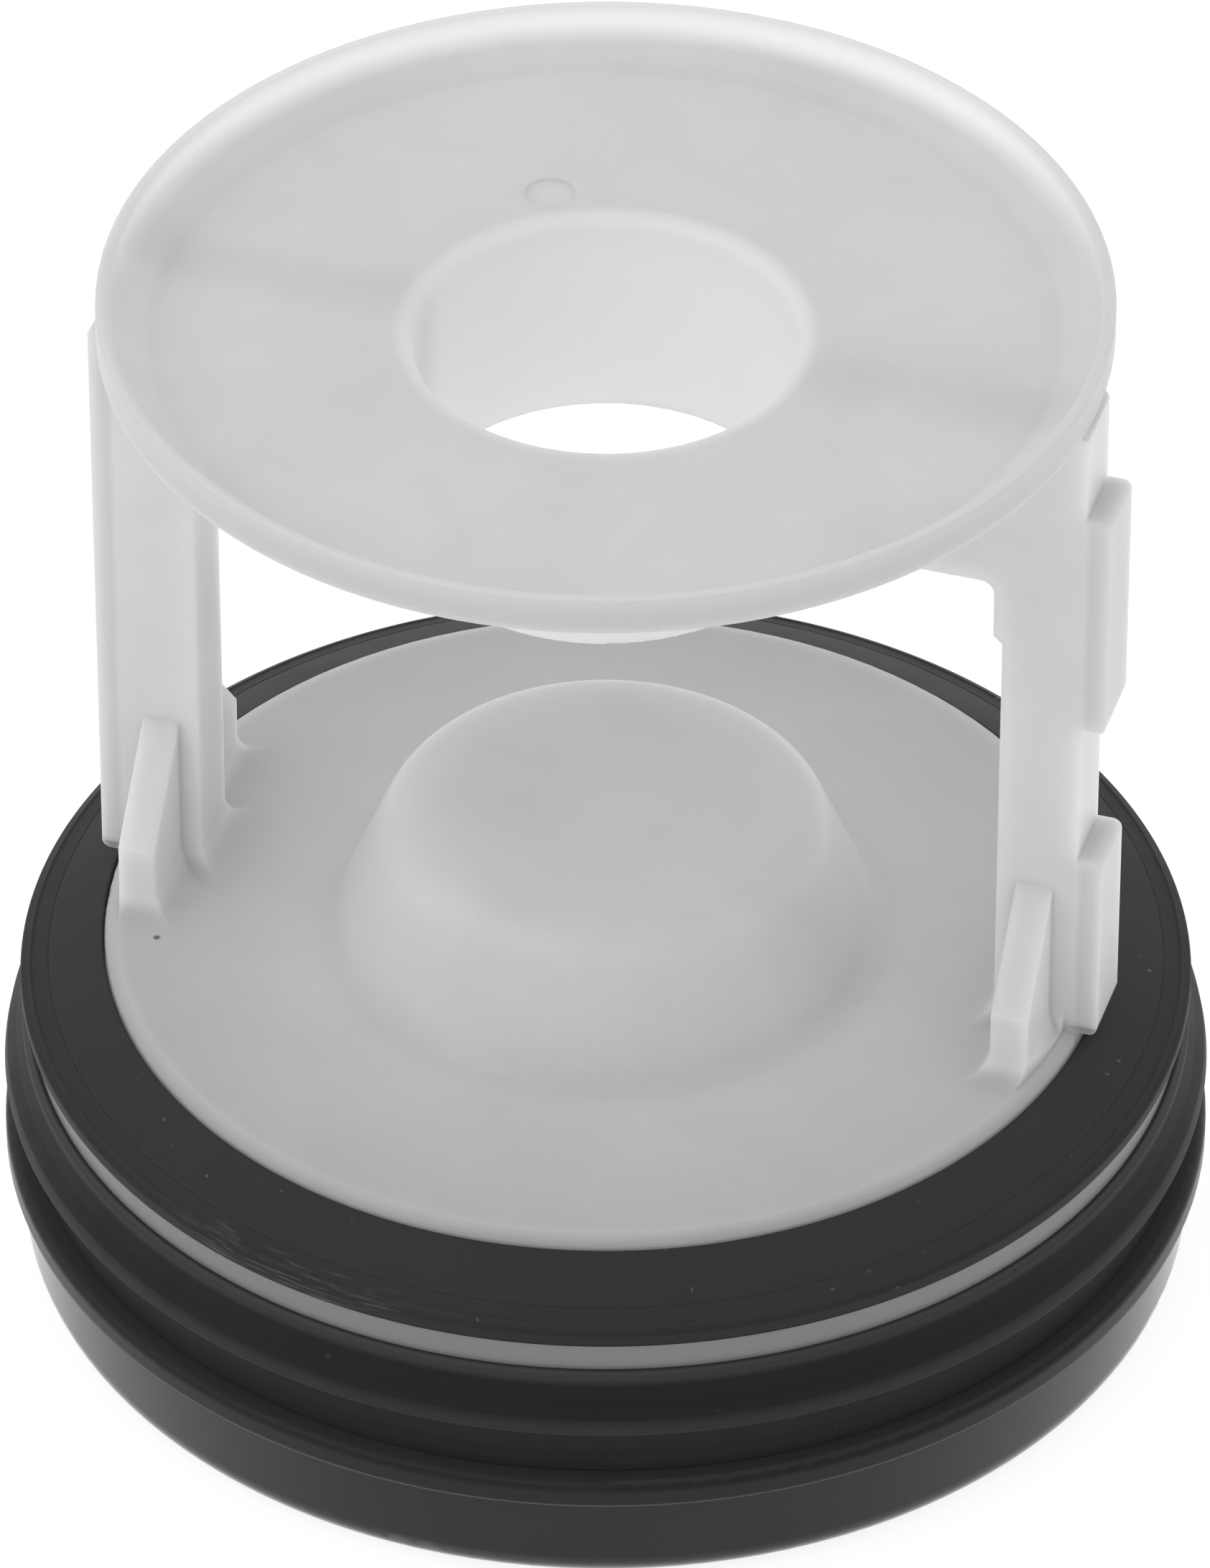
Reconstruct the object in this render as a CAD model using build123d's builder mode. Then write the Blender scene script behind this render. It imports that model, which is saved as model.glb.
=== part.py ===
# Drain-pump filter of a washing machine, standing on its grip cap.
# One white moulding carries two rubber seals and snaps onto the collar of a dark cap.
# Millimetres, +Z up. The origin is on the axis, in the plane that the cap rests on.
import os
from math import copysign

from build123d import *

# Mouth of the pump housing, which the lip of the seal and the flange of the cap both fill
mouth_radius = 33.0

# Grip cap
cap_taper = 0.3
cap_foot_round = 1.8
cap_flange_overhang = 0.7
cap_flange_thickness = 1.4
cap_flange_round = 0.5
cap_height = 7.6
cap_skirt_wall = 2.6
cap_web_thickness = 2.0
cup_depth = 13.0
cup_wall = 2.2
cup_floor = 1.8
cup_round = 2.0
cup_mouth_round = 1.2
collar_round = 0.8
grip_width = 8.0
grip_inset = 0.8
grip_round = 1.5

# Snap between the collar of the cap and the spigot of the body
spigot_inset = 4.4
spigot_wall = 1.7
collar_clearance = 0.15
snap_height = 3.4
snap_bead = 0.45
snap_half_width = 0.8
snap_clearance = 0.1

# Lip seal
lip_seal_height = 6.1
lip_edge = 1.0
lip_edge_slope = 0.2
lip_undercut = 1.25
flare_drop = 1.7
flare_bow = 0.25
neck_wall = 0.45
rim_height = 1.0
seal_clearance = 0.05

# Flange, boss and base plate of the body
flange_inset = 1.6
flange_thickness = 2.6
seal_seat_width = 4.1
boss_height = 3.6
boss_round = 0.8
plate_thickness = 2.0

# Upper seal
upper_seal_overhang = 0.55
upper_seal_edge = 0.95
upper_seal_inner_height = 3.1
upper_seal_shoulder = 0.6

# Dome on the base plate: a steep cone with a wide fillet at its foot and a dished, well rounded top
dome_radius = 14.8
dome_slope = 3.3
dome_height = 8.2
dome_top_round = 3.0
dome_foot_round = 1.5
dome_wall = 1.6
dome_dish = 0.9
dome_dish_radius = 4.0
dome_crest_width = 2.5
dome_dish_round = 12.0
dome_crest_round = 5.0

# Top dish with its central tube
dish_inset = 0.1
dish_top = 62.0
dish_rim_height = 2.6
dish_rim_wall = 0.7
dish_floor = 1.3
dish_bevel_width = 2.4
dish_bevel_height = 1.85
dish_bevel_round = 0.2
dish_cove_width = 2.2
dish_cove_height = 1.5
dish_cove_round = 1.0
rim_edge_round = 0.3
tube_bore = 20.3
tube_wall = 0.9
tube_length = 15.0
tube_entry_round = 0.9
tube_end_round = 0.3

# Gate mark that the moulding leaves on the floor of the dish
gate_radius = 1.35
gate_depth = 0.15
gate_distance = 12.9
gate_angle = 103.3

# Legs, on a line through the axis that is turned from +X towards the front
leg_turn = 17.0
leg_thickness = 4.2
foot_inset = 0.4
leg_width = 4.4
leg_head_drop = 2.5
leg_head_lap = 0.4
leg_step = 0.5
leg_step_drop = 16.8
leg_root = 1.0
web_drop = 12.8
web_round = 0.8
foot_fillet = 1.6
foot_pad = 3.0

# Guide lugs on the right leg and the guide rail on the left leg
lug_projection = 1.35
rail_projection = 1.3
lug_drop = 7.7
rail_drop = 6.9
upper_lug_length = 13.9
lower_lug_length = 11.7
lug_round = 0.5

# Gussets at the feet of the legs
gusset_thickness = 2.0
gusset_inset = 1.3
gusset_setback = 0.4
gusset_reach = 7.2
gusset_tip_height = 4.0
gusset_slope = 1.2

# Levels and radii worked out from the sizes above
cap_flange_radius = mouth_radius
cap_radius = cap_flange_radius - cap_flange_overhang
lip_radius = mouth_radius
flange_radius = mouth_radius - flange_inset
boss_radius = flange_radius - seal_seat_width
upper_seal_radius = flange_radius + upper_seal_overhang
spigot_radius = flange_radius - spigot_inset
seal_bottom = cap_height
seal_top = seal_bottom + lip_seal_height
flange_top = seal_top + flange_thickness
plate_top = flange_top + boss_height
plate_bottom = plate_top - plate_thickness
dome_top_radius = dome_radius - dome_slope
dome_top = plate_top + dome_height
dome_crest_radius = dome_top_radius - dome_crest_width
dish_floor_top = dish_top - dish_rim_height
dish_bottom = dish_floor_top - dish_floor
web_top = dish_floor_top - dish_floor / 2
tube_bottom = dish_top - tube_length
tube_outer_radius = tube_bore / 2 + tube_wall
tube_mid_radius = tube_bore / 2 + tube_wall / 2
spigot_bore_radius = spigot_radius - spigot_wall
collar_radius = spigot_bore_radius - collar_clearance
cup_radius = collar_radius - cup_wall
snap_level = cap_height + snap_height
rim_inner_radius = flange_radius + seal_clearance
neck_radius = rim_inner_radius + neck_wall
leg_outer_radius = boss_radius - foot_inset
leg_inner_radius = leg_outer_radius - leg_width
leg_middle_radius = leg_outer_radius - leg_width / 2
dish_radius = leg_outer_radius - dish_inset
dish_wall_radius = dish_radius - dish_rim_wall
leg_top = dish_top - leg_head_drop
leg_head_radius = dish_radius - dish_rim_wall / 2
leg_head_top = dish_bottom + dish_bevel_height + leg_head_lap
leg_root_level = plate_top - leg_root
leg_step_level = dish_top - leg_step_drop
web_bottom = dish_top - web_drop
lug_radius = leg_outer_radius + lug_projection
rail_radius = leg_outer_radius + rail_projection
lug_top = dish_top - lug_drop
rail_top = dish_top - rail_drop
upper_lug_bottom = lug_top - upper_lug_length
lower_lug_top = plate_top + lower_lug_length
gusset_outer_radius = leg_outer_radius - gusset_inset

# The legs' own planes: the elevation faces the front, the foot section faces along the leg line
leg_elevation = Plane.XZ.rotated((0, 0, -leg_turn))
foot_section = Plane.YZ.rotated((0, 0, -leg_turn))
leg_plan = Plane.XY.rotated((0, 0, -leg_turn))


def corner(sketch, across, up):
    """The corner of a sketch nearest to a point of its plane."""
    return sketch.vertices().sort_by_distance((across, up, 0))[0]


# Feet: the lowest stretch of the legs and gussets, on a pad that lies in the base plate.
# The pad's upper face is the second largest level face, and the fillet runs round its opening.
with BuildPart() as feet:
    for side in (1, -1):
        with BuildPart(mode=Mode.PRIVATE) as foot:
            with BuildSketch(leg_plan.offset(leg_root_level)):
                with Locations((side * leg_middle_radius, gusset_setback)):
                    Rectangle(leg_width + 2 * foot_pad, 2 * (gusset_reach + foot_pad))
            extrude(amount=leg_root)
            with BuildSketch(leg_plan.offset(plate_top)):
                with Locations((side * leg_middle_radius, 0)):
                    Rectangle(leg_width, leg_thickness)
                with Locations((side * (gusset_outer_radius - gusset_thickness / 2), gusset_setback)):
                    Rectangle(gusset_thickness, 2 * gusset_reach)
            extrude(amount=gusset_tip_height)
            pad_face = foot.faces().filter_by(Axis.Z).sort_by(SortBy.AREA)[-2]
            fillet(pad_face.inner_wires()[0].edges(), foot_fillet)
        add(foot.part)
    with BuildSketch(Plane.XY.offset(leg_root_level)):
        Circle(boss_radius - boss_round)
    extrude(amount=leg_root + gusset_tip_height, mode=Mode.INTERSECT)

# White body: base plate, dome, boss, flange and spigot are one turned section
with BuildPart() as body:
    with BuildSketch(Plane.XZ) as base_section:
        with BuildLine():
            Polyline(
                (0, dome_top - dome_dish),
                (dome_dish_radius, dome_top - dome_dish),
                (dome_crest_radius, dome_top),
                (dome_top_radius, dome_top),
                (dome_radius, plate_top),
                (boss_radius, plate_top),
                (boss_radius, flange_top),
                (flange_radius, flange_top),
                (flange_radius, seal_top),
                (spigot_radius, seal_top),
                (spigot_radius, seal_bottom),
                (spigot_bore_radius, seal_bottom),
                (spigot_bore_radius, plate_bottom),
                (dome_radius - dome_wall, plate_bottom),
                (dome_top_radius - dome_wall, dome_top - dome_wall - dome_dish),
                (0, dome_top - dome_wall - dome_dish),
                close=True,
            )
        make_face()
        fillet(corner(base_section, dome_dish_radius, dome_top - dome_dish), dome_dish_round)
        fillet(corner(base_section, dome_crest_radius, dome_top), dome_crest_round)
        fillet(corner(base_section, dome_top_radius, dome_top), dome_top_round)
        fillet(corner(base_section, dome_radius, plate_top), dome_foot_round)
        fillet(corner(base_section, boss_radius, plate_top), boss_round)
    revolve(axis=Axis.Z)

    # Groove inside the spigot for the snap bead of the cap
    with BuildSketch(Plane.XZ):
        with BuildLine():
            Polyline(
                (collar_radius, snap_level - snap_half_width - snap_clearance),
                (collar_radius + snap_bead + snap_clearance, snap_level),
                (collar_radius, snap_level + snap_half_width + snap_clearance),
                close=True,
            )
        make_face()
    revolve(axis=Axis.Z, mode=Mode.SUBTRACT)

    # Legs: flat bars with the web under the dish, cut from one elevation and mirrored
    for side in (1, -1):
        with BuildSketch(leg_elevation.offset(leg_thickness / 2)) as leg:
            with BuildLine():
                Polyline(
                    (side * leg_inner_radius, leg_root_level),
                    (side * leg_outer_radius, leg_root_level),
                    (side * leg_outer_radius, leg_top),
                    (side * leg_head_radius, leg_head_top),
                    (side * (dish_radius - dish_bevel_width), web_top),
                    (side * tube_mid_radius, web_top),
                    (side * tube_mid_radius, web_bottom),
                    (side * (leg_inner_radius - leg_step), web_bottom),
                    (side * (leg_inner_radius - leg_step), leg_step_level + leg_step),
                    (side * leg_inner_radius, leg_step_level),
                    close=True,
                )
            make_face()
            fillet(corner(leg, side * (leg_inner_radius - leg_step), web_bottom), web_round)
        extrude(amount=-leg_thickness)

    # Guide lugs: two on the right leg, one long rail on the left leg
    for across, bottom, top in (
        (lug_radius, upper_lug_bottom, lug_top),
        (lug_radius, plate_top, lower_lug_top),
        (-rail_radius, plate_top, rail_top),
    ):
        with BuildSketch(leg_elevation.offset(leg_thickness / 2)) as lug:
            with BuildLine():
                Polyline(
                    (copysign(leg_outer_radius, across), bottom),
                    (across, bottom),
                    (across, top),
                    (copysign(leg_outer_radius, across), top),
                    close=True,
                )
            make_face()
            fillet(corner(lug, across, bottom), lug_round)
            fillet(corner(lug, across, top), lug_round)
        extrude(amount=-leg_thickness)

    # Gussets on both sides of each foot
    for side in (1, -1):
        with BuildSketch(foot_section.offset(side * gusset_outer_radius)):
            with BuildLine():
                Polyline(
                    (gusset_setback - gusset_reach, leg_root_level),
                    (gusset_setback + gusset_reach, leg_root_level),
                    (gusset_setback + gusset_reach, plate_top + gusset_tip_height),
                    (gusset_setback, plate_top + gusset_tip_height + gusset_reach * gusset_slope),
                    (gusset_setback - gusset_reach, plate_top + gusset_tip_height),
                    close=True,
                )
            make_face()
        extrude(amount=-side * gusset_thickness)

    # Filleted feet of both legs
    add(feet.part)

    # Top dish with its rim and the tube
    with BuildSketch(Plane.XZ) as dish_section:
        with BuildLine():
            Polyline(
                (tube_bore / 2, tube_bottom),
                (tube_outer_radius, tube_bottom),
                (tube_outer_radius, dish_bottom),
                (dish_radius - dish_bevel_width, dish_bottom),
                (dish_radius, dish_bottom + dish_bevel_height),
                (dish_radius, dish_top),
                (dish_wall_radius, dish_top),
                (dish_wall_radius, dish_floor_top + dish_cove_height),
                (dish_wall_radius - dish_cove_width, dish_floor_top),
                (tube_bore / 2, dish_floor_top),
                close=True,
            )
        make_face()
        fillet(corner(dish_section, dish_radius, dish_bottom + dish_bevel_height), dish_bevel_round)
        fillet(corner(dish_section, dish_wall_radius, dish_floor_top + dish_cove_height), dish_cove_round)
        fillet(corner(dish_section, dish_wall_radius - dish_cove_width, dish_floor_top), dish_cove_round)
        fillet(corner(dish_section, dish_radius, dish_top), rim_edge_round)
        fillet(corner(dish_section, dish_wall_radius, dish_top), rim_edge_round)
        fillet(corner(dish_section, tube_bore / 2, dish_floor_top), tube_entry_round)
        fillet(corner(dish_section, tube_outer_radius, tube_bottom), tube_end_round)
        fillet(corner(dish_section, tube_bore / 2, tube_bottom), tube_end_round)
    revolve(axis=Axis.Z)

    # Gate mark in the floor of the dish
    with BuildSketch(Plane.XY.offset(dish_floor_top)):
        with PolarLocations(gate_distance, 1, start_angle=gate_angle):
            Circle(gate_radius)
    extrude(amount=-gate_depth, mode=Mode.SUBTRACT)

# Upper seal: a ring with a conical top, seated on the flange around the boss
with BuildPart() as upper_seal:
    with BuildSketch(Plane.XZ) as upper_section:
        with BuildLine():
            Polyline(
                (boss_radius + seal_clearance, flange_top),
                (upper_seal_radius, flange_top),
                (upper_seal_radius, flange_top + upper_seal_edge),
                (boss_radius + seal_clearance, flange_top + upper_seal_inner_height),
                close=True,
            )
        make_face()
        fillet(
            corner(upper_section, upper_seal_radius, flange_top + upper_seal_edge),
            upper_seal_shoulder,
        )
    revolve(axis=Axis.Z)

# Lip seal: a sleeve round the spigot, with a rim round the flange and a free lip
with BuildPart() as lip_seal:
    with BuildSketch(Plane.XZ) as lip_section:
        with BuildLine():
            outline = Polyline(
                (rim_inner_radius, seal_top),
                (rim_inner_radius, seal_top + rim_height),
                (neck_radius, seal_top + rim_height),
                (neck_radius, seal_top),
            )
            flare = ThreePointArc(
                outline @ 1,
                (neck_radius + flare_bow, seal_top - flare_drop / 2),
                (lip_radius - lip_edge_slope, seal_top - flare_drop),
            )
            Polyline(
                flare @ 1,
                (lip_radius, seal_top - flare_drop - lip_edge),
                (lip_radius - lip_undercut, seal_top - flare_drop - lip_edge),
                (lip_radius - lip_undercut, seal_bottom),
                (spigot_radius + seal_clearance, seal_bottom),
                (spigot_radius + seal_clearance, seal_top),
                outline @ 0,
            )
        make_face()
    revolve(axis=Axis.Z)

# Grip cap: skirt, flange, web, collar and cup are one turned section
with BuildPart() as cap:
    with BuildSketch(Plane.XZ) as cap_section:
        with BuildLine():
            Polyline(
                (0, cup_depth),
                (cup_radius, cup_depth),
                (cup_radius, cap_height - cap_web_thickness),
                (cap_radius - cap_skirt_wall, cap_height - cap_web_thickness),
                (cap_radius - cap_skirt_wall - cap_taper, 0),
                (cap_radius - cap_taper, 0),
                (cap_radius, cap_height - cap_flange_thickness),
                (cap_flange_radius, cap_height - cap_flange_thickness),
                (cap_flange_radius, cap_height),
                (collar_radius, cap_height),
                (collar_radius, cup_depth + cup_floor),
                (0, cup_depth + cup_floor),
                close=True,
            )
        make_face()
        fillet(corner(cap_section, cap_radius - cap_taper, 0), cap_foot_round)
        fillet(corner(cap_section, cup_radius, cup_depth), cup_round)
        fillet(corner(cap_section, cup_radius, cap_height - cap_web_thickness), cup_mouth_round)
        fillet(corner(cap_section, collar_radius, cup_depth + cup_floor), collar_round)
        fillet(corner(cap_section, cap_flange_radius, cap_height), cap_flange_round)
    revolve(axis=Axis.Z)

    # Snap bead round the collar
    with BuildSketch(Plane.XZ):
        with BuildLine():
            Polyline(
                (collar_radius - snap_bead, snap_level - snap_half_width),
                (collar_radius, snap_level - snap_half_width),
                (collar_radius + snap_bead, snap_level),
                (collar_radius, snap_level + snap_half_width),
                (collar_radius - snap_bead, snap_level + snap_half_width),
                close=True,
            )
        make_face()
    revolve(axis=Axis.Z)

    # Grip bar across the recess, kept a little above the foot
    with BuildSketch(Plane.XY.offset(grip_inset)):
        Rectangle(2 * (cap_radius - cap_skirt_wall), grip_width)
    extrude(amount=cap_height - cap_web_thickness / 2 - grip_inset)
    with BuildSketch(Plane.XY.offset(grip_inset)):
        Circle(cup_radius + cup_wall / 2)
        Rectangle(2 * cap_radius, grip_width, mode=Mode.INTERSECT)
    extrude(amount=cup_depth + cup_floor / 2 - grip_inset)
    fillet(
        cap.edges().filter_by(Axis.X).filter_by_position(Axis.Z, grip_inset, grip_inset),
        grip_round,
    )

os.makedirs("parts", exist_ok=True)
for piece, label in (
    (body, "filter_body"),
    (upper_seal, "upper_seal"),
    (lip_seal, "lip_seal"),
    (cap, "grip_cap"),
):
    piece.part.label = label
    export_step(piece.part, f"parts/{label}.step")
    print(label, len(piece.part.solids()), round(piece.part.volume), piece.part.is_valid)
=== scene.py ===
# %% [markdown]
# # Dressing a drain-pump filter
# The real object is a filter insert from a washing machine: one milky white moulding, two black rubber
# seals and a dark grip cap. The CAD model already has its true shapes and sizes, so this lesson loads it as
# a fixed frame and adds what CAD leaves out: finishes, painted light and shade, the soft edges of moulded
# rubber, and the small marks that moulding and use leave behind.

# %% Load the imported model
import math

import bmesh
import bpy
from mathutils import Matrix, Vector


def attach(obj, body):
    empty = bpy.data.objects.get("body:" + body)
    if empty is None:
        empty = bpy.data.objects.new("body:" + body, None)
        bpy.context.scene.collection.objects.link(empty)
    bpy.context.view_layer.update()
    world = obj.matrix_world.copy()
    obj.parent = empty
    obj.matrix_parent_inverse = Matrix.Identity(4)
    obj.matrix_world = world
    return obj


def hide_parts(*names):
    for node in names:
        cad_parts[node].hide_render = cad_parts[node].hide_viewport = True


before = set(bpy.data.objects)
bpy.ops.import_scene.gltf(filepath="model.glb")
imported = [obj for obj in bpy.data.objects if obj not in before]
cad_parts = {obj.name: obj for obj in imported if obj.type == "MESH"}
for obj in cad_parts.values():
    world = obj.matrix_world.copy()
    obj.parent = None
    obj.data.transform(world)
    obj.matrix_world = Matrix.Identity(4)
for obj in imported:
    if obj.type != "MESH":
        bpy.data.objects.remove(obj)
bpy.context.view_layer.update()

MM = 0.001
print("CAD nodes:", sorted(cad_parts))

# %% [markdown]
# ## Two small helpers
# Colours are written as sRGB hex values, the way a colour picker shows them, but shader sockets expect linear
# light, so one function converts them. A second function adds a node, sets its options and fills or links
# its sockets in one call, which keeps every node tree below readable from top to bottom. Sockets that share
# a name go by number: on a Mix node for colours, 0 is the factor, 6 and 7 are the colours, and output 2 is
# the mixed colour.


# %% Colour and node helpers
def linear(code):
    """An sRGB hex colour as the linear RGBA that a socket takes."""
    parts = [int(code[i : i + 2], 16) / 255 for i in (1, 3, 5)]
    return (*[c / 12.92 if c <= 0.04045 else ((c + 0.055) / 1.055) ** 2.4 for c in parts], 1.0)


def add(tree, kind, sockets=None, **options):
    """Adds a node. Sockets are given by name or number, each with a value or with an output to link."""
    node = tree.nodes.new(kind)
    for option, value in options.items():
        setattr(node, option, value)
    for socket, value in (sockets or {}).items():
        if isinstance(value, bpy.types.NodeSocket):
            tree.links.new(value, node.inputs[socket])
        else:
            node.inputs[socket].default_value = value
    return node


print("linear mid grey:", round(linear("#808080")[0], 3))

# %% [markdown]
# ## Natural polypropylene, injection moulded
# The body is uncoloured polypropylene. It is milky rather than white: light enters it, spreads a few
# millimetres and comes out again, so edges glow and shadows stay soft. Subsurface scattering gives that,
# and a weak emission stands for the light that comes through it from all sides of a light tent.
# The tool leaves a fine satin skin with slow flow clouds, drawn here by noise of 7 mm and of 0.5 mm (the real
# grain is finer, and would not show). A Bevel node softens the knife edges that a solid has and a
# moulding never has.

# %% White moulding: clouds, grain and soft edges
CLOUD_SIZE = 7 * MM
GRAIN_SIZE = 0.5 * MM
MOULDED_EDGE = 0.7 * MM
SKIN_DEPTH = 0.02 * MM
white_plastic = bpy.data.materials.new("natural_polypropylene_moulded")
white_plastic.use_nodes = True
tree = white_plastic.node_tree
tree.nodes.clear()
place = add(tree, "ShaderNodeTexCoord").outputs["Object"]
flow = {"Vector": place, "Scale": 1 / CLOUD_SIZE, "Detail": 3.0, "Distortion": 0.6}
clouds = add(tree, "ShaderNodeTexNoise", flow).outputs["Fac"]
tint = add(tree, "ShaderNodeValToRGB", {"Fac": clouds})
for stop, position, colour in zip(tint.color_ramp.elements, (0.3, 0.7), ("#cbcbcb", "#d0d0d0")):
    stop.position = position
    stop.color = linear(colour)
satin = add(tree, "ShaderNodeMapRange", {"Value": clouds, "To Min": 0.36, "To Max": 0.46})
grain = add(tree, "ShaderNodeTexNoise", {"Vector": place, "Scale": 1 / GRAIN_SIZE, "Detail": 2.0})
soft_edge = add(tree, "ShaderNodeBevel", {"Radius": MOULDED_EDGE}, samples=8)
relief = {"Strength": 0.25, "Distance": SKIN_DEPTH, "Height": grain.outputs["Fac"]}
skin = add(tree, "ShaderNodeBump", relief | {"Normal": soft_edge.outputs["Normal"]})
print("clouds of", CLOUD_SIZE / MM, "mm and grain of", GRAIN_SIZE / MM, "mm")

# %% [markdown]
# ## Painted light and shade that follow the place
# The moulding isn't one tone all over, and most tones here are painted light and shade. The wall of the tube
# and the back half of the rim get painted light, for light that comes through thin walls and falls on them.
# The outside and the top of the rim and the lugs get painted shade. The plate and the dome, over the dark
# cap, get painted shade, and the flange between the black seals the darkest. One speck of grit is a true
# mark.
# Painting them by hand would need a texture, so each tone is a colour with the zones where it lies. A zone
# has a share and its limits in millimetres, which fade from none at the first number to full at the second.
# Zones of one tone are joined by their maximum, and the tones lie over each other in order.

# %% White moulding: what the tones are measured by
GRIT_SPOT = (-24.4 * MM, -1.8 * MM, 19.9 * MM)
axes = add(tree, "ShaderNodeSeparateXYZ", {"Vector": place}).outputs
flat = add(tree, "ShaderNodeVectorMath", {0: place, 1: (1.0, 1.0, 0.0)}, operation="MULTIPLY")
reach = add(tree, "ShaderNodeVectorMath", {0: flat.outputs["Vector"]}, operation="LENGTH")
apart = add(tree, "ShaderNodeVectorMath", {0: place, 1: GRIT_SPOT}, operation="DISTANCE")
measures = {
    "height": axes["Z"],
    "depth": axes["Y"],
    "radius": reach.outputs["Value"],
    "grit": apart.outputs["Value"],
}
print("measures:", list(measures))

# %% White moulding: lay the painted light and shade, and the grit, over each other
painted_light_shade_and_grit = {
    # Painted light on the wall of the tube, for light through the thin wall and falling on it.
    "#dcdcdc": {"wall of the tube": (1.0, {"radius": (11.3, 10.4), "height": (44.9, 45.0)})},
    # Painted light on the back half of the rim, the side that faces the front light.
    "#f6f6f6": {
        "back of the rim": (1.0, {"height": (60.3, 61.2), "radius": (26.7, 26.4), "depth": (2.0, 18.0)}),
    },
    # Painted shade on the outside and the top of the rim and on the lugs.
    "#b4b4b4": {
        "outside of the rim": (1.0, {"radius": (26.45, 26.75), "height": (59.4, 59.6)}),
        "top of the rim": (0.6, {"radius": (26.0, 26.2), "height": (61.5, 61.8)}),
        "guide lugs": (0.5, {"radius": (26.95, 27.3), "height": (19.5, 19.8)}),
    },
    # Painted shade on the plate, its edge and the dome, for the shade under the dish and the dark cap below.
    "#717170": {
        "base plate": (0.36, {"height": (20.7, 20.2), "radius": (13.0, 27.4)}),
        "edge of the plate": (0.75, {"height": (20.4, 20.3), "radius": (25.9, 27.4)}),
        "dome": (0.08, {"height": (29.2, 28.8), "radius": (17.0, 16.0)}),
    },
    # Painted shade on the flange between the two black seals.
    "#656564": {"flange": (1.0, {"height": (16.7, 16.6)})},
    "#3c3c3a": {"speck of grit": (1.0, {"grit": (0.25, 0.12)})},
}
colour_with_painted_light = tint.outputs["Color"]
for colour, zones in painted_light_shade_and_grit.items():
    factor = 0.0
    for share, limits in zones.values():
        inside = share
        for measure, (start, end) in limits.items():
            ramp = {"Value": measures[measure], "From Min": start * MM, "From Max": end * MM}
            fade = add(tree, "ShaderNodeMapRange", ramp).outputs["Result"]
            inside = add(tree, "ShaderNodeMath", {0: inside, 1: fade}, operation="MULTIPLY").outputs["Value"]
        factor = add(tree, "ShaderNodeMath", {0: factor, 1: inside}, operation="MAXIMUM").outputs["Value"]
    layers = {0: factor, 6: colour_with_painted_light, 7: linear(colour)}
    colour_with_painted_light = add(tree, "ShaderNodeMix", layers, data_type="RGBA").outputs[2]
    print("tone", colour, "on", ", ".join(zones))

# %% White moulding: the shader
shader = add(
    tree,
    "ShaderNodeBsdfPrincipled",
    {
        "Base Color": colour_with_painted_light,
        "Roughness": satin.outputs["Result"],
        "IOR": 1.49,
        "Subsurface Weight": 1.0,
        "Subsurface Radius": (1.0, 1.0, 1.0),
        "Subsurface Scale": 2.4 * MM,
        "Emission Color": linear("#ffffff"),
        "Emission Strength": 0.07,
        "Normal": skin.outputs["Normal"],
    },
)
add(tree, "ShaderNodeOutputMaterial", {"Surface": shader.outputs["BSDF"]})
print("finish:", white_plastic.name)

# %% [markdown]
# ## EPDM rubber, compression moulded
# The seals are soft black EPDM. Its diffuse colour is nearly nothing, and what the eye reads as dark grey is
# a broad, dull reflection of the room. Light and shade are painted into the colour by the height on the ring,
# so a colour ramp over the height holds them: painted light on the lip seal's rim and on the lip's edge,
# painted shade on the flare, under the lip and on the upper seal's side, and a paler foot on the lip seal's
# sleeve. Fine pits break up the reflection, and specks of lint lie on top. Each ring also has one patch of
# pale streaks on its edge, drawn by noise that is stretched along the ring; on the lip seal they are a
# painted highlight.

# %% Black rubber: pale streaks along one patch of an edge
STREAK_WIDTH = 0.12 * MM
STREAK_STRETCH = 1.5 * MM
STREAK_FADE = 0.1 * MM
STREAK_CORE = 0.3


# On the lip seal these pale streaks are a painted highlight on the lip's edge.
def pale_streaks(tree, place, spot, reach):
    """A factor for streaks along the ring. They lie on the edge below the spot, out to a reach, both in
    millimetres, and are at their fullest in the core of the patch."""
    axes = add(tree, "ShaderNodeSeparateXYZ", {"Vector": place}).outputs
    turn = add(tree, "ShaderNodeMath", {0: axes["Y"], 1: axes["X"]}, operation="ARCTAN2").outputs["Value"]
    along = add(tree, "ShaderNodeMath", {0: turn, 1: STREAK_STRETCH}, operation="MULTIPLY").outputs["Value"]
    strip = add(tree, "ShaderNodeCombineXYZ", {"X": along, "Y": axes["Z"]}).outputs["Vector"]
    rubs = add(tree, "ShaderNodeTexNoise", {"Vector": strip, "Scale": 1 / STREAK_WIDTH, "Detail": 3.0})
    limits = {"Value": rubs.outputs["Fac"], "From Min": 0.52, "From Max": 0.72}
    streaks = add(tree, "ShaderNodeMapRange", limits).outputs["Result"]
    middle = [v * MM for v in spot]
    apart = add(tree, "ShaderNodeVectorMath", {0: place, 1: middle}, operation="DISTANCE").outputs["Value"]
    limits = {"Value": apart, "From Min": reach * MM, "From Max": STREAK_CORE * reach * MM}
    patch = add(tree, "ShaderNodeMapRange", limits).outputs["Result"]
    limits = {"Value": axes["Z"], "From Min": middle[2] + STREAK_FADE, "From Max": middle[2]}
    edge = add(tree, "ShaderNodeMapRange", limits).outputs["Result"]
    worn = add(tree, "ShaderNodeMath", {0: patch, 1: edge}, operation="MULTIPLY").outputs["Value"]
    return add(tree, "ShaderNodeMath", {0: streaks, 1: worn}, operation="MULTIPLY").outputs["Value"]


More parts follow.
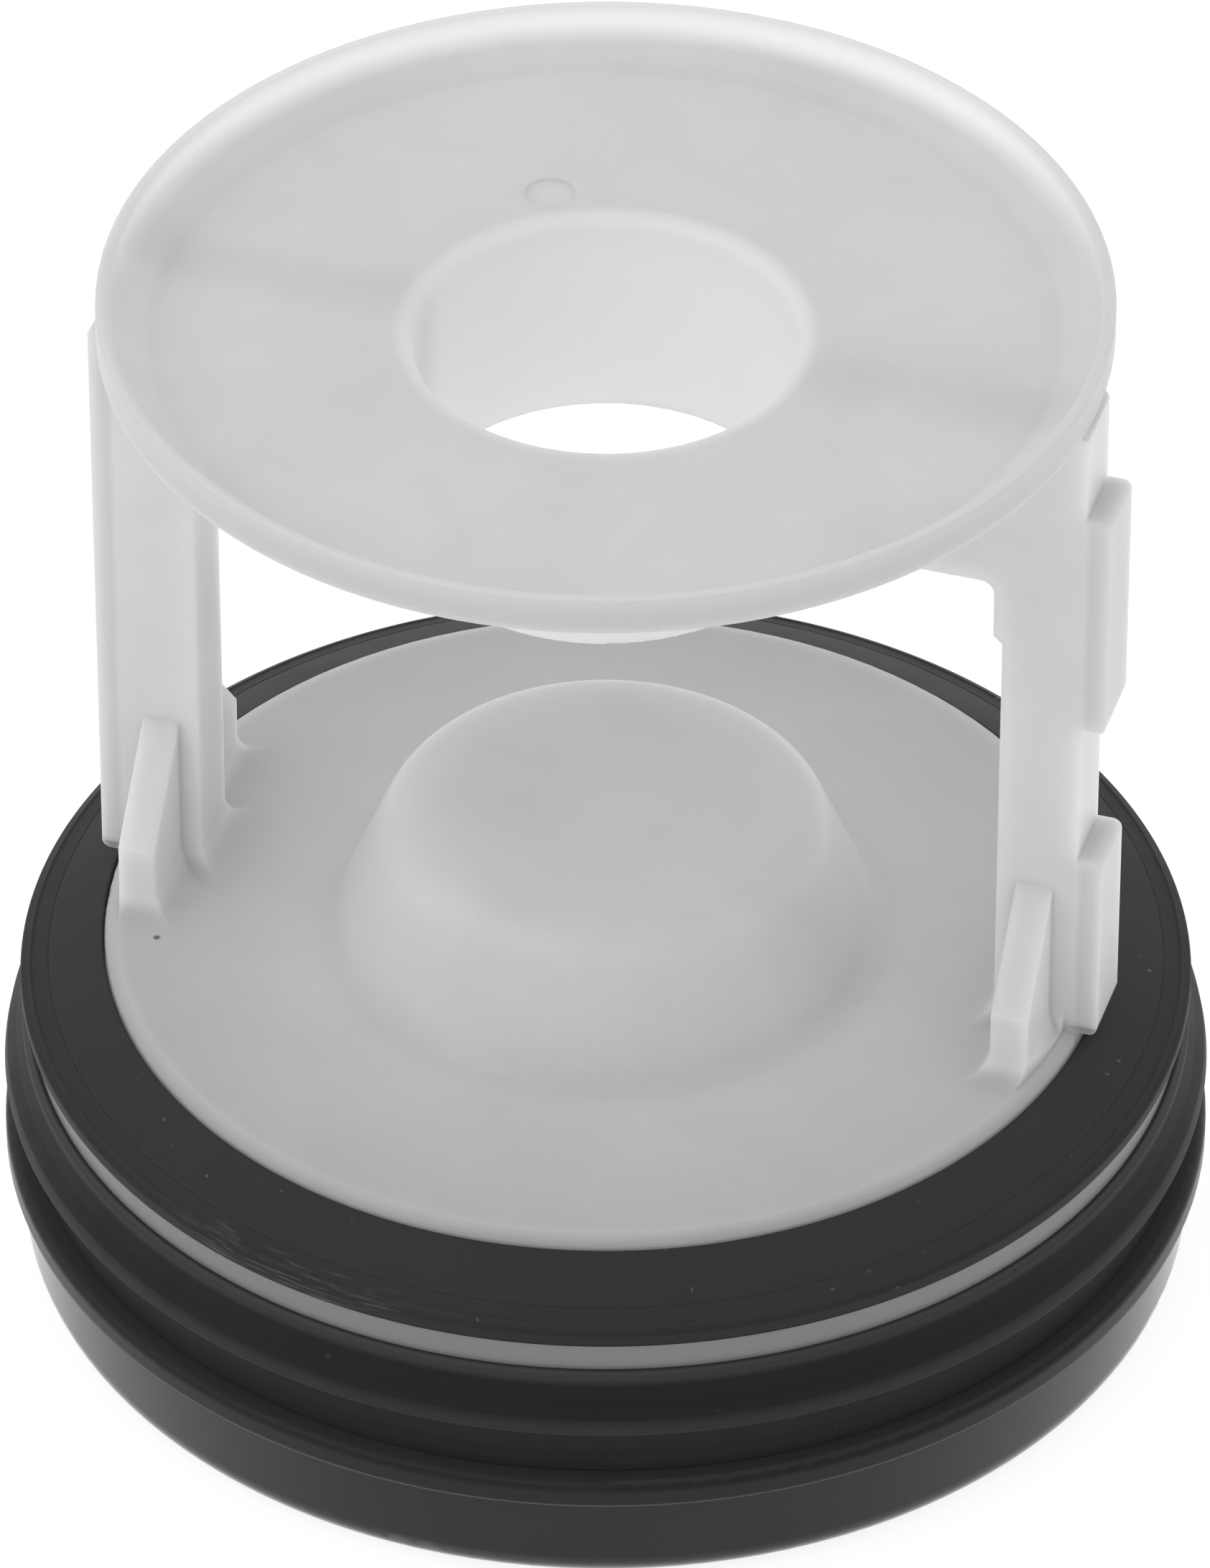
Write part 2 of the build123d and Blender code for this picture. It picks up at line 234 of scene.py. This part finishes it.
print("scuffs are about", STREAK_WIDTH / MM, "mm wide")

# %% Black rubber: shades, lint and pits
LINT_SIZE = 0.6 * MM
BLOOM_SIZE = 4 * MM
PIT_SIZE = 0.35 * MM
PIT_DEPTH = 0.02 * MM


def rubber(name, painted_shades, specks, gloss, streak_spot, streak_reach):
    """Black rubber. Painted shades are (height, colour) from the lowest up, with heights in millimetres, and
    paint light and shade by height. Specks is the colour of lint and of the pale streaks."""
    material = bpy.data.materials.new(name)
    material.use_nodes = True
    tree = material.node_tree
    tree.nodes.clear()
    place = add(tree, "ShaderNodeTexCoord").outputs["Object"]
    level = add(tree, "ShaderNodeSeparateXYZ", {"Vector": place}).outputs["Z"]

    # Painted light and shade by height
    lowest, highest = painted_shades[0][0], painted_shades[-1][0]
    limits = {"Value": level, "From Min": lowest * MM, "From Max": highest * MM}
    climb = add(tree, "ShaderNodeMapRange", limits)
    ramp_by_height = add(tree, "ShaderNodeValToRGB", {"Fac": climb.outputs["Result"]})
    stops = ramp_by_height.color_ramp.elements
    stops[0].color = linear(painted_shades[0][1])
    stops[1].color = linear(painted_shades[-1][1])
    for stop_height, shade in painted_shades[1:-1]:
        stops.new((stop_height - lowest) / (highest - lowest)).color = linear(shade)

    # Lint and pale streaks over the painted shades
    lint = add(tree, "ShaderNodeTexNoise", {"Vector": place, "Scale": 1 / LINT_SIZE, "Detail": 1.0})
    limits = {"Value": lint.outputs["Fac"], "From Min": 0.76, "From Max": 0.82}
    specked = add(tree, "ShaderNodeMapRange", limits).outputs["Result"]
    streaked = pale_streaks(tree, place, streak_spot, streak_reach)
    marked = add(tree, "ShaderNodeMath", {0: streaked, 1: specked}, operation="MAXIMUM").outputs["Value"]
    layers = {0: marked, 6: ramp_by_height.outputs["Color"], 7: linear(specks)}
    colour = add(tree, "ShaderNodeMix", layers, data_type="RGBA").outputs[2]

    # A dull, pitted surface
    bloom = add(tree, "ShaderNodeTexNoise", {"Vector": place, "Scale": 1 / BLOOM_SIZE, "Detail": 4.0})
    dull = add(tree, "ShaderNodeMapRange", {"Value": bloom.outputs["Fac"], "To Min": 0.5, "To Max": 0.64})
    pits = add(tree, "ShaderNodeTexNoise", {"Vector": place, "Scale": 1 / PIT_SIZE, "Detail": 2.0})
    relief = {"Strength": 0.3, "Distance": PIT_DEPTH, "Height": pits.outputs["Fac"]}
    pitted = add(tree, "ShaderNodeBump", relief)
    shader = add(
        tree,
        "ShaderNodeBsdfPrincipled",
        {
            "Base Color": colour,
            "Roughness": dull.outputs["Result"],
            "IOR": 1.45,
            "Specular IOR Level": gloss,
            "Normal": pitted.outputs["Normal"],
        },
    )
    add(tree, "ShaderNodeOutputMaterial", {"Surface": shader.outputs["BSDF"]})
    print("finish:", material.name, "with", len(stops), "painted_shades")
    return material


# %% The two rubbers, with painted light and shade from the foot of each seal to its top
dusty_painted_shade_rubber = rubber(
    "epdm_rubber_moulded_dusty_painted_shade",
    # Painted shade on the side of the upper seal, lighter up its conical top.
    [(16.3, "#0a0a0a"), (17.1, "#101010"), (17.5, "#252526"), (19.4, "#29292a")],
    specks="#565656",
    gloss=0.42,
    streak_spot=(-17.0, -26.4, 17.62),
    streak_reach=9.0,
)
bare_rubber = rubber(
    "epdm_rubber_moulded_bare",
    [
        # Paler at the foot, painted shade under the lip and on its flare, a painted highlight on the lip's
        # edge, painted light on the rim.
        (7.6, "#282828"),
        (8.8, "#151515"),
        (10.7, "#111111"),
        (11.0, "#1e1e1e"),
        (11.5, "#242424"),
        (11.8, "#181818"),
        (12.1, "#101010"),
        (12.6, "#0b0b0b"),
        (13.7, "#0c0c0c"),
        (14.1, "#2a2a2a"),
        (14.5, "#404040"),
    ],
    specks="#282828",
    gloss=0.3,
    # The pale streaks here are a painted highlight on the lip's edge.
    streak_spot=(-27.2, -18.3, 12.0),
    streak_reach=2.0,
)

# %% [markdown]
# ## Dark polypropylene, spark-eroded tool
# The grip cap is a harder, dark grey plastic. Its tool was spark-eroded, which leaves an even satin that
# still mirrors bright things at a grazing angle, so it is much smoother than the rubber. A little sheen adds
# the haze of fine scratches. The flange at its top is rubbed dull, and the ledge under the seal is a paler
# grey.

# %% Grip cap: drift of the shade, rubbed flange and paler ledge
DRIFT_SIZE = 9 * MM
SPARK_SIZE = 0.3 * MM
SPARK_DEPTH = 0.02 * MM
CAP_EDGE = 0.25 * MM
RUBBED_FROM = 5.7 * MM
RUBBED_FULL = 6.1 * MM
LEDGE_FROM = 7.4 * MM
LEDGE_FULL = 7.6 * MM
dark_plastic = bpy.data.materials.new("dark_polypropylene_satin")
dark_plastic.use_nodes = True
tree = dark_plastic.node_tree
tree.nodes.clear()
place = add(tree, "ShaderNodeTexCoord").outputs["Object"]
level = add(tree, "ShaderNodeSeparateXYZ", {"Vector": place}).outputs["Z"]
slow = {"Vector": place, "Scale": 1 / DRIFT_SIZE, "Detail": 3.0}
drift = add(tree, "ShaderNodeTexNoise", slow).outputs["Fac"]
shade = add(tree, "ShaderNodeValToRGB", {"Fac": drift})
for stop, position, colour in zip(shade.color_ramp.elements, (0.3, 0.7), ("#0e0e0f", "#131314")):
    stop.position = position
    stop.color = linear(colour)
# The ledge under the seal is painted a paler grey.
limits = {"Value": level, "From Min": LEDGE_FROM, "From Max": LEDGE_FULL}
ledge = add(tree, "ShaderNodeMapRange", limits).outputs["Result"]
layers = {0: ledge, 6: shade.outputs["Color"], 7: linear("#343434")}
paler_ledge = add(tree, "ShaderNodeMix", layers, data_type="RGBA").outputs[2]
satin = add(tree, "ShaderNodeMapRange", {"Value": drift, "To Min": 0.11, "To Max": 0.15}).outputs["Result"]
limits = {"Value": level, "From Min": RUBBED_FROM, "From Max": RUBBED_FULL, "To Max": 0.5}
ramp_by_height = add(tree, "ShaderNodeMapRange", limits).outputs["Result"]
dulled = add(tree, "ShaderNodeMath", {0: satin, 1: ramp_by_height}, operation="ADD")
print("flange rubbed above", RUBBED_FROM / MM, "mm")

# %% Grip cap: the shader
spark = add(tree, "ShaderNodeTexNoise", {"Vector": place, "Scale": 1 / SPARK_SIZE, "Detail": 2.0})
soft_edge = add(tree, "ShaderNodeBevel", {"Radius": CAP_EDGE}, samples=4)
relief = {"Strength": 0.2, "Distance": SPARK_DEPTH, "Height": spark.outputs["Fac"]}
eroded = add(tree, "ShaderNodeBump", relief | {"Normal": soft_edge.outputs["Normal"]})
shader = add(
    tree,
    "ShaderNodeBsdfPrincipled",
    {
        "Base Color": paler_ledge,
        "Roughness": dulled.outputs["Value"],
        "IOR": 1.37,
        "Sheen Weight": 0.5,
        "Sheen Roughness": 0.35,
        "Normal": eroded.outputs["Normal"],
    },
)
add(tree, "ShaderNodeOutputMaterial", {"Surface": shader.outputs["BSDF"]})
print("finish:", dark_plastic.name)

# %% Give the moulded nodes their finish
for node, finish in (("filter_body", white_plastic), ("grip_cap", dark_plastic)):
    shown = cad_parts[node]
    shown.data.materials.clear()
    shown.data.materials.append(finish)
    print(node, "wears", finish.name)

# %% [markdown]
# ## The two rubber seals
# A seal is the clearest case of a shape that follows a rule: one section, carried round a circle. The section
# is drawn as a closed curve with its corners rounded, because rubber never comes out of a tool with sharp
# edges, and a Geometry Nodes tree sweeps it round the axis. The tree can also lift the thin, uneven ridge
# that the split of the tool leaves on a rim. The CAD rings are hidden but stay in the scene. The CAD rings
# stay behind in the physics model.

# %% Draw a section with rounded corners
CORNER_POINTS = 6
SIDE_SHARE = 0.49


def rounded(corners):
    """Points round a closed section. A corner is (radius from the axis, height, rounding) in millimetres.
    Its rounding takes up at most SIDE_SHARE of the sides that meet there."""
    points = []
    for i, (r, z, rounding) in enumerate(corners):
        here = Vector((r, z))
        before = Vector(corners[i - 1][:2]) - here
        after = Vector(corners[(i + 1) % len(corners)][:2]) - here
        if rounding == 0:
            points.append(here)
            continue
        half = before.angle(after) / 2
        reach = min(rounding / math.tan(half), SIDE_SHARE * before.length, SIDE_SHARE * after.length)
        start = here + before.normalized() * reach
        end = here + after.normalized() * reach
        for step in range(CORNER_POINTS):
            t = step / (CORNER_POINTS - 1)
            points.append(start * (1 - t) ** 2 + here * 2 * t * (1 - t) + end * t**2)
    return points


def section_curve(name, corners, ring_radius):
    """A closed poly curve of the section, measured from the middle of the ring's path."""
    points = rounded(corners)
    data = bpy.data.curves.new(name, "CURVE")
    data.dimensions = "3D"
    spline = data.splines.new("POLY")
    spline.points.add(len(points) - 1)
    for point, place in zip(spline.points, points):
        point.co = ((place.x - ring_radius) * MM, -place.y * MM, 0.0, 1.0)
    spline.use_cyclic_u = True
    curve = bpy.data.objects.new(name, data)
    bpy.context.scene.collection.objects.link(curve)
    return curve


print("each rounded corner has", CORNER_POINTS, "points")

# %% Name the inputs of the tree that turns a section into a ring
turned = bpy.data.node_groups.new("turned_seal", "GeometryNodeTree")
turned.is_modifier = True
for socket, kind in (
    ("Section", "NodeSocketGeometry"),
    ("Ring radius", "NodeSocketFloat"),
    ("Segments", "NodeSocketInt"),
    ("Flash radius", "NodeSocketFloat"),
    ("Flash width", "NodeSocketFloat"),
    ("Flash height", "NodeSocketFloat"),
    ("Finish", "NodeSocketMaterial"),
):
    turned.interface.new_socket(socket, in_out="INPUT", socket_type=kind)
turned.interface.new_socket("Seal", in_out="OUTPUT", socket_type="NodeSocketGeometry")
sockets = {item.name: item.identifier for item in turned.interface.items_tree if item.in_out == "INPUT"}
print("tree inputs:", list(sockets))

# %% Sweep the section and lift the flash
RAGGED_SIZE = 1.5 * MM
given = add(turned, "NodeGroupInput").outputs
circle = {"Resolution": given["Segments"], "Radius": given["Ring radius"]}
path = add(turned, "GeometryNodeCurvePrimitiveCircle", circle).outputs["Curve"]
sweep = {"Curve": path, "Profile Curve": given["Section"]}
swept = add(turned, "GeometryNodeCurveToMesh", sweep).outputs["Mesh"]
spot = add(turned, "GeometryNodeInputPosition").outputs["Position"]
flat = add(turned, "ShaderNodeVectorMath", {0: spot, 1: (1.0, 1.0, 0.0)}, operation="MULTIPLY")
reach = add(turned, "ShaderNodeVectorMath", {0: flat.outputs["Vector"]}, operation="LENGTH").outputs["Value"]
off = add(turned, "ShaderNodeMath", {0: reach, 1: given["Flash radius"]}, operation="SUBTRACT")
away = add(turned, "ShaderNodeMath", {0: off.outputs["Value"]}, operation="ABSOLUTE").outputs["Value"]
limits = {"Value": away, "From Min": given["Flash width"], "From Max": 0.0}
near = add(turned, "ShaderNodeMapRange", limits).outputs["Result"]
ragged = add(turned, "ShaderNodeTexNoise", {"Vector": spot, "Scale": 1 / RAGGED_SIZE, "Detail": 3.0})
limits = {"Value": ragged.outputs["Fac"], "From Min": 0.35, "From Max": 0.75}
uneven = add(turned, "ShaderNodeMapRange", limits).outputs["Result"]
lift = add(turned, "ShaderNodeMath", {0: near, 1: uneven}, operation="MULTIPLY").outputs["Value"]
height = add(turned, "ShaderNodeMath", {0: lift, 1: given["Flash height"]}, operation="MULTIPLY")
rise = add(turned, "ShaderNodeCombineXYZ", {"Z": height.outputs["Value"]}).outputs["Vector"]
ridged = add(turned, "GeometryNodeSetPosition", {"Geometry": swept, "Offset": rise}).outputs["Geometry"]
smooth = add(turned, "GeometryNodeSetShadeSmooth", {"Geometry": ridged, "Shade Smooth": True})
whole = add(turned, "GeometryNodeRealizeInstances", {"Geometry": smooth.outputs["Geometry"]})
finished = {"Geometry": whole.outputs["Geometry"], "Material": given["Finish"]}
painted = add(turned, "GeometryNodeSetMaterial", finished)
add(turned, "NodeGroupOutput", {"Seal": painted.outputs["Geometry"]})
print("tree nodes:", len(turned.nodes))

# %% Sweep, turn into a plain mesh and seat a seal
RING_SEGMENTS = 288
MERGE_DISTANCE = 0.001 * MM
NO_FLASH = (0.0, 1.0, 0.0)


def seal(name, node, finish, corners, ring_radius, flash=NO_FLASH):
    """Makes a ring that stands for a CAD node. Flash is its ridge's (radius, width, height) in mm."""
    curve = section_curve(name + "_section", corners, ring_radius)
    modifier = curve.modifiers.new("turned_seal", "NODES")
    modifier.node_group = turned
    for socket, value in (
        ("Ring radius", ring_radius * MM),
        ("Segments", RING_SEGMENTS),
        ("Flash radius", flash[0] * MM),
        ("Flash width", flash[1] * MM),
        ("Flash height", flash[2] * MM),
        ("Finish", finish),
    ):
        modifier[sockets[socket]] = value
    mesh = bpy.data.meshes.new_from_object(curve.evaluated_get(bpy.context.evaluated_depsgraph_get()))
    bpy.data.objects.remove(curve)
    shape = bmesh.new()
    shape.from_mesh(mesh)
    bmesh.ops.remove_doubles(shape, verts=shape.verts, dist=MERGE_DISTANCE)
    bmesh.ops.recalc_face_normals(shape, faces=shape.faces)
    shape.to_mesh(mesh)
    shape.free()
    ring = bpy.data.objects.new(name, mesh)
    bpy.context.scene.collection.objects.link(ring)
    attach(ring, "root")
    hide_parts(node)
    heights = [v.co.z / MM for v in mesh.vertices]
    print(name, len(mesh.polygons), "faces, from", round(min(heights), 2), "to", round(max(heights), 2), "mm")


# %% The upper seal, a ring with a conical top and two faint rings on it
seal(
    "upper_seal_ring",
    "upper_seal",
    dusty_painted_shade_rubber,
    [
        (27.35, 16.3, 0.1),
        (31.75, 16.3, 0.15),
        (31.93, 16.6, 0.15),
        (31.93, 17.2, 0.25),
        (31.4, 17.52, 0.1),
        (31.3, 17.48, 0.05),
        (30.45, 17.86, 0.05),
        (30.38, 17.84, 0.04),
        (30.3, 17.93, 0.05),
        (27.35, 19.35, 0.15),
    ],
    ring_radius=29.6,
    flash=(31.35, 0.25, 0.08),
)

# %% The lip seal, a sleeve with a rim and a free lip, and no flash
seal(
    "lip_seal_ring",
    "lip_seal",
    bare_rubber,
    [
        (31.45, 13.7, 0.0),
        (31.42, 14.48, 0.0),
        (31.64, 14.48, 0.15),
        (31.9, 14.15, 0.3),
        (31.9, 13.7, 0.3),
        (32.28, 12.85, 0.8),
        (32.78, 12.0, 0.15),
        (32.97, 11.05, 0.2),
        (31.75, 11.0, 0.25),
        (31.75, 7.6, 0.1),
        (27.05, 7.6, 0.1),
        (27.05, 13.7, 0.1),
    ],
    ring_radius=30.0,
)

# %% [markdown]
# ## Floor, light and camera
# The photograph was taken in very even light on white. A pale floor that glows a little, an even white world
# and two large soft lights from the left give the same quiet shading. The camera was worked out from the
# ellipses of the rims: a long lens, 38 degrees above the floor.

# %% Pale floor
FLOOR_SIZE = 3.0
FLOOR_LEVEL = -0.02 * MM
floor_paint = bpy.data.materials.new("pale_studio_floor")
floor_paint.use_nodes = True
tree = floor_paint.node_tree
tree.nodes.clear()
shader = add(
    tree,
    "ShaderNodeBsdfPrincipled",
    {
        "Base Color": linear("#959595"),
        "Roughness": 0.8,
        "Emission Color": linear("#ffffff"),
        "Emission Strength": 0.85,
    },
)
add(tree, "ShaderNodeOutputMaterial", {"Surface": shader.outputs["BSDF"]})
floor_mesh = bpy.data.meshes.new("studio_floor")
sheet = bmesh.new()
bmesh.ops.create_grid(sheet, x_segments=1, y_segments=1, size=FLOOR_SIZE)
bmesh.ops.translate(sheet, verts=sheet.verts, vec=(0.0, 0.0, FLOOR_LEVEL))
sheet.to_mesh(floor_mesh)
sheet.free()
floor_mesh.materials.append(floor_paint)
floor = bpy.data.objects.new("studio_floor", floor_mesh)
bpy.context.scene.collection.objects.link(floor)
print("floor is stage:", floor.name)

# %% World and soft lights
WORLD_STRENGTH = 0.75
world = bpy.data.worlds.new("light_tent")
world.use_nodes = True
background = world.node_tree.nodes["Background"].inputs
background["Color"].default_value = linear("#ffffff")
background["Strength"].default_value = WORLD_STRENGTH
bpy.context.scene.world = world
for name, spot, aim, size, power in (
    ("front_softbox", (-0.62, -0.38, 0.6), (0.0, 0.0, 0.03), 0.7, 0.95),
    ("left_softbox", (-0.75, 0.1, 0.45), (0.0, 0.0, 0.02), 0.5, 0.15),
):
    data = bpy.data.lights.new(name, "AREA")
    data.size = size
    data.energy = power
    lamp = bpy.data.objects.new(name, data)
    lamp.location = spot
    lamp.rotation_euler = (Vector(aim) - Vector(spot)).to_track_quat("-Z", "Y").to_euler()
    bpy.context.scene.collection.objects.link(lamp)
    print(name, power, "W")

# %% Camera at the photograph's angle
ELEVATION = 38.21
CAMERA_SPOT = (0.0, -0.5592, 0.4693)
lens = bpy.data.cameras.new("portrait_lens")
lens.sensor_width = 36.0
lens.lens = 302.5
lens.shift_x = -0.0005
lens.clip_end = 20.0
camera = bpy.data.objects.new("portrait_camera", lens)
camera.location = CAMERA_SPOT
camera.rotation_euler = (math.radians(90 - ELEVATION), 0.0, 0.0)
bpy.context.scene.collection.objects.link(camera)
bpy.context.scene.camera = camera
bpy.context.scene.view_settings.view_transform = "Standard"
print("camera is", round(camera.location.length / MM), "mm from the origin")
